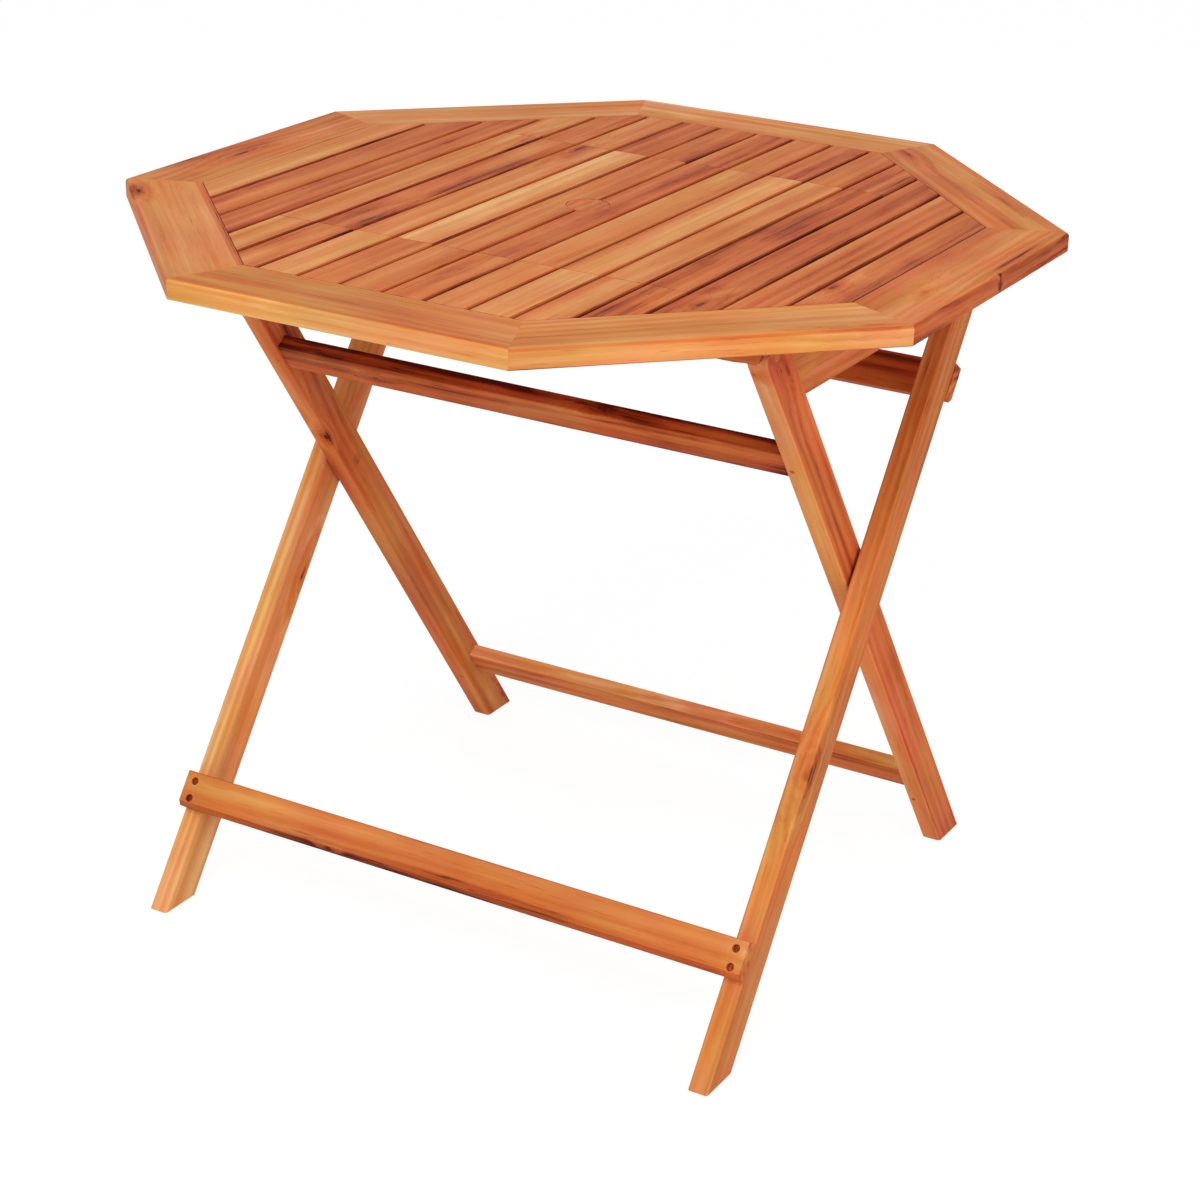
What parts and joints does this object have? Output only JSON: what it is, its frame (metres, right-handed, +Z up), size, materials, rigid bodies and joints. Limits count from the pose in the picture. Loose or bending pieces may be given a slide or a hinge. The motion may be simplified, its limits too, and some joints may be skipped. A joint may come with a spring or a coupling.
{
  "type": "folding garden table",
  "caption": "Octagonal slatted wooden garden table on two crossing leg frames that fold flat, with a plugged parasol hole in the middle.",
  "frame": {"origin": "on the floor under the middle of the table top, unfolded", "axes": "+Z up, +X along the hinge axes to the right, +Y to the back; the slats run along Y"},
  "size_m": [0.84, 0.84, 0.72],
  "materials": {
    "rim_wood": "oiled acacia, satin",
    "slat_wood": "oiled acacia, satin",
    "frame_wood": "oiled acacia, satin",
    "plug_wood": "oiled acacia, satin",
    "peg_wood": "raw beech",
    "steel": "zinc plated",
    "screw_steel": "browned"
  },
  "bodies": {
    "inner_frame": {"right_inner_leg": "frame_wood", "left_inner_leg": "frame_wood", "inner_lower_rail": "frame_wood", "inner_upper_rail": "frame_wood", "rail_pins": "screw_steel", "right_crossing_bolt": "steel", "left_crossing_bolt": "steel", "crossing_covers": "frame_wood", "crossing_washers": "steel", "right_top_bolt": "steel", "left_top_bolt": "steel", "top_covers": "frame_wood", "top_washers": "steel", "top_nuts": "steel"},
    "outer_frame": {"right_outer_leg": "frame_wood", "left_outer_leg": "frame_wood", "outer_lower_board": "frame_wood", "outer_upper_board": "frame_wood", "board_screws": "screw_steel", "insert_nuts": "steel"},
    "table_top": {"rim_front": "rim_wood", "rim_front_right": "rim_wood", "rim_right": "rim_wood", "rim_back_right": "rim_wood", "rim_back": "rim_wood", "rim_back_left": "rim_wood", "rim_left": "rim_wood", "rim_front_left": "rim_wood", "rim_splines": "peg_wood", "slat_01": "slat_wood", "slat_02": "slat_wood", "slat_03": "slat_wood", "slat_04": "slat_wood", "slat_05": "slat_wood", "slat_06": "slat_wood", "slat_07": "slat_wood", "slat_08": "slat_wood", "slat_09": "slat_wood", "slat_10": "slat_wood", "slat_11": "slat_wood", "slat_12": "slat_wood", "slat_13": "slat_wood", "slat_14": "slat_wood", "slat_15": "slat_wood", "slat_16": "slat_wood", "front_batten": "frame_wood", "front_joint_batten": "frame_wood", "rear_joint_batten": "frame_wood", "rear_batten": "frame_wood", "batten_screws": "screw_steel", "right_cleat": "frame_wood", "left_cleat": "frame_wood", "cleat_dowels": "peg_wood", "parasol_block": "frame_wood", "block_screws": "screw_steel"},
    "parasol_plug": {"parasol_plug": "plug_wood"}
  },
  "joints": [
    {"name": "top_tilt", "type": "hinge", "parent": "inner_frame", "child": "table_top", "pos_m": [0, -0.18399, 0.674], "axis": [1, 0, 0], "range_deg": [0, 105]},
    {"name": "leg_fold", "type": "hinge", "parent": "inner_frame", "child": "outer_frame", "pos_m": [0, 0.00906, 0.40236], "axis": [1, 0, 0], "range_deg": [0, 70]},
    {"name": "plug_lift", "type": "slide", "parent": "table_top", "child": "parasol_plug", "axis": [0, 0, 1], "range_m": [0, 0.06]}
  ],
  "couplings": [
    {"joint": "leg_fold", "follows": "top_tilt", "ratio": 0.6666}
  ]
}
